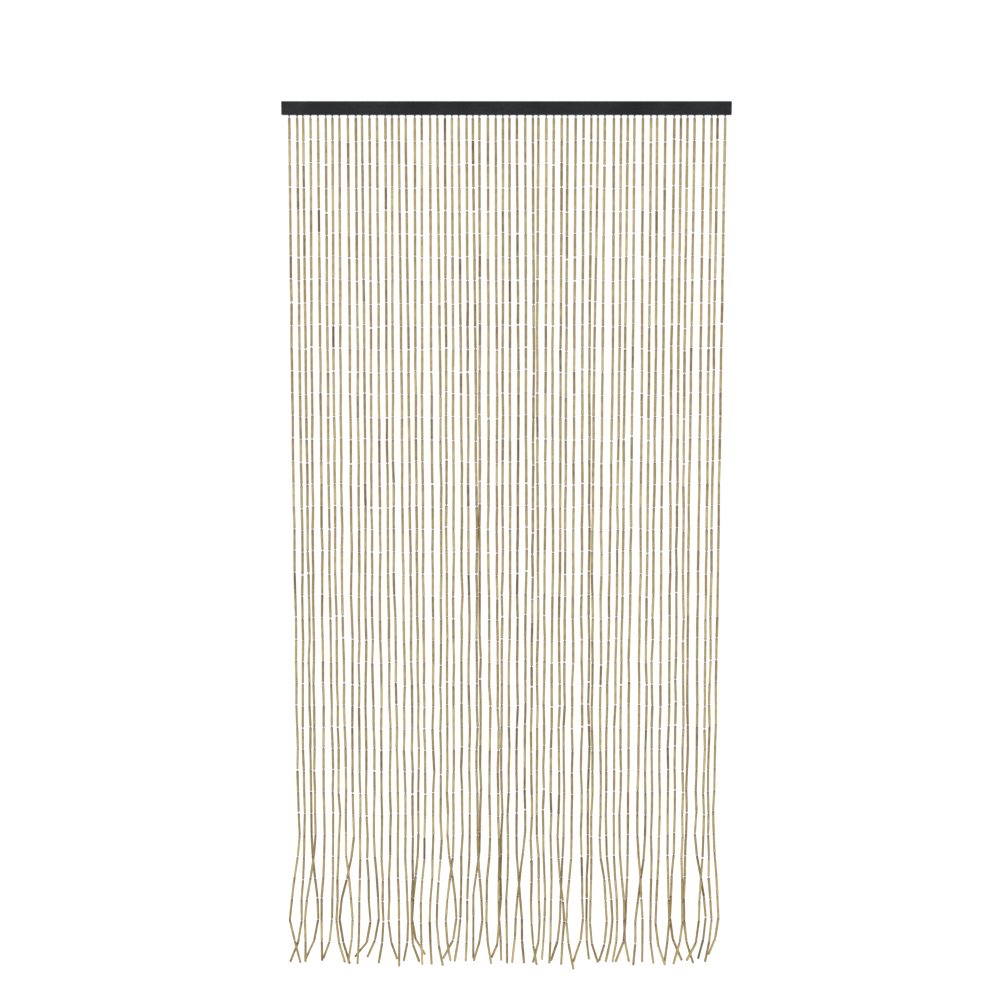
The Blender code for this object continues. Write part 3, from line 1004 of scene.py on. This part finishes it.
class CURTAIN_OT_wire_eyes(bpy.types.Operator):
    """Build the wire eyes at both ends of every tube, hooked into each other at the joints"""

    bl_idname = "curtain.wire_eyes"
    bl_label = "Wire eyes"

    def execute(self, context):
        settings = context.scene.curtain_wire
        draw = np.random.default_rng(LOOK_SEED + 1)
        upper, axis, length, gaps = tube_ends(settings)
        lower = upper + axis * length[..., None]
        reach = (gaps + settings.thickness) / 2.0
        joint_turn = draw.uniform(0.0, np.pi, (STRAND_COUNT, TUBES_PER_STRAND + 1))
        upper_turn = joint_turn[:, :-1] + np.pi / 2.0 + draw.normal(0.0, EYE_TURN_SPREAD, length.shape)
        lower_turn = joint_turn[:, 1:]
        material = wire_material(settings)
        for number, band in enumerate(band_slices(), 1):
            above = of_band(band, upper, -axis, -upper_turn, reach[:, :-1])
            below = of_band(band, lower, axis, lower_turn, reach[:, 1:])
            grids = [(eye_grid(*ends, settings), False) for ends in (above, below)]
            hang_piece(mesh_of_grids(f"wire_eyes_{number}", grids), material)
        return {"FINISHED"}


class CURTAIN_OT_screw_eyes(bpy.types.Operator):
    """Build the row of black screw eyes that the strands hang from"""

    bl_idname = "curtain.screw_eyes"
    bl_label = "Screw eyes"

    def execute(self, context):
        settings = context.scene.curtain_rail
        draw = np.random.default_rng(LOOK_SEED + 2)
        tops = strand_joints()[:, 0]
        turn = draw.uniform(-SCREW_TURN, SCREW_TURN, STRAND_COUNT)
        collars, rings = screw_eye_grids(tops, turn, settings, context.scene.curtain_wire)
        piece = mesh_of_grids("screw_eyes", [(collars, False), (rings, True)])
        hang_piece(piece, black_metal_material(settings))
        return {"FINISHED"}


class CURTAIN_OT_rail_finish(bpy.types.Operator):
    """Give the part's own rail its black paint"""

    bl_idname = "curtain.rail_finish"
    bl_label = "Rail finish"

    def execute(self, context):
        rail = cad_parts["rail"]
        material = black_paint_material(context.scene.curtain_rail)
        for slot in rail.material_slots:
            slot.material = material
        return {"FINISHED"}


class CURTAIN_OT_stage(bpy.types.Operator):
    """Build the pale floor, the soft studio light and the camera"""

    bl_idname = "curtain.stage"
    bl_label = "Stage"

    def add_floor(self, settings):
        """A wide level sheet under the curtain."""
        across = np.linspace(-FLOOR_REACH, FLOOR_REACH, FLOOR_LINES)
        x, y = np.meshgrid(across, across)
        points = np.stack([x, y, np.full_like(x, -settings.floor_drop)], axis=-1).reshape(-1, 3)
        cell = np.arange(FLOOR_LINES - 1)
        first = (cell[:, None] * FLOOR_LINES + cell[None, :]).reshape(-1)
        beyond = first + FLOOR_LINES
        faces = np.stack([first, first + 1, beyond + 1, beyond], axis=-1)
        mesh = bpy.data.meshes.new("floor")
        mesh.from_pydata(points.tolist(), [], faces.tolist())
        mesh.materials.append(floor_material(settings.floor_colour))
        floor = bpy.data.objects.new("floor", mesh)
        bpy.context.scene.collection.objects.link(floor)

    def add_light(self, name, place, aim, size, power):
        """A square soft box at a place, turned to an aim."""
        light = bpy.data.lights.new(name, "AREA")
        light.size = size
        light.energy = power
        lamp = bpy.data.objects.new(name, light)
        lamp.location = place
        direction = np.array(aim) - np.array(place)
        level = np.hypot(direction[0], direction[1])
        lamp.rotation_euler = (np.arctan2(level, -direction[2]), 0.0, np.arctan2(-direction[0], direction[1]))
        bpy.context.scene.collection.objects.link(lamp)

    def add_surround(self, strength):
        """An even soft white all round, pure white where the camera sees it."""
        world = bpy.data.worlds.new("studio")
        world.use_nodes = True
        tree = world.node_tree
        background = tree.nodes["Background"]
        background.inputs["Color"].default_value = (1.0, 1.0, 1.0, 1.0)
        seen = add_node(tree, "ShaderNodeLightPath").outputs["Is Camera Ray"]
        brightness = remap(tree, seen, 0.0, 1.0, strength, SEEN_WHITE)
        tree.links.new(brightness, background.inputs["Strength"])
        bpy.context.scene.world = world

    def add_camera(self, settings):
        """The camera, in front of the curtain and looking a little down."""
        data = bpy.data.cameras.new("camera")
        data.lens = settings.lens
        data.sensor_width = SENSOR_WIDTH
        camera = bpy.data.objects.new("camera", data)
        camera.location = (settings.camera_side, -settings.camera_distance, settings.camera_height)
        camera.rotation_euler = (np.pi / 2.0 - settings.camera_pitch, 0.0, 0.0)
        bpy.context.scene.collection.objects.link(camera)
        bpy.context.scene.camera = camera

    def execute(self, context):
        settings = context.scene.curtain_stage
        self.add_floor(settings)
        self.add_surround(settings.sky_strength)
        for box, power in zip(SOFT_BOXES, (settings.key_power, settings.fill_power)):
            self.add_light(*box, power)
        self.add_camera(settings)
        context.scene.view_settings.view_transform = "Standard"
        return {"FINISHED"}


class CURTAIN_PT_panel(bpy.types.Panel):
    """The curtain's pieces and their settings"""

    bl_label = "Bead curtain"
    bl_idname = "CURTAIN_PT_panel"
    bl_space_type = "VIEW_3D"
    bl_region_type = "UI"
    bl_category = "Curtain"

    def draw(self, context):
        layout = self.layout
        for operator in OPERATORS:
            layout.operator(operator.bl_idname)
        for settings in SETTINGS:
            box = layout.box()
            group = getattr(context.scene, settings)
            box.label(text=settings.replace("_", " "))
            for name in group.bl_rna.properties.keys():
                if name not in ("name", "rna_type"):
                    box.prop(group, name)


OPERATORS = (
    CURTAIN_OT_tubes,
    CURTAIN_OT_wire_eyes,
    CURTAIN_OT_screw_eyes,
    CURTAIN_OT_rail_finish,
    CURTAIN_OT_stage,
)
SETTINGS = {
    "curtain_tubes": CurtainTubeSettings,
    "curtain_wire": CurtainWireSettings,
    "curtain_rail": CurtainRailSettings,
    "curtain_stage": CurtainStageSettings,
}


def register():
    """Registers the settings, the operators and the panel."""
    for name, settings in SETTINGS.items():
        bpy.utils.register_class(settings)
        setattr(bpy.types.Scene, name, bpy.props.PointerProperty(type=settings))
    for operator in OPERATORS:
        bpy.utils.register_class(operator)
    bpy.utils.register_class(CURTAIN_PT_panel)


def unregister():
    """Takes the panel, the operators and the settings away again."""
    bpy.utils.unregister_class(CURTAIN_PT_panel)
    for operator in reversed(OPERATORS):
        bpy.utils.unregister_class(operator)
    for name, settings in SETTINGS.items():
        delattr(bpy.types.Scene, name)
        bpy.utils.unregister_class(settings)


def main():
    """Builds every piece in order."""
    register()
    bpy.ops.curtain.tubes()
    bpy.ops.curtain.wire_eyes()
    bpy.ops.curtain.screw_eyes()
    bpy.ops.curtain.rail_finish()
    bpy.ops.curtain.stage()


if __name__ == "__main__":
    main()
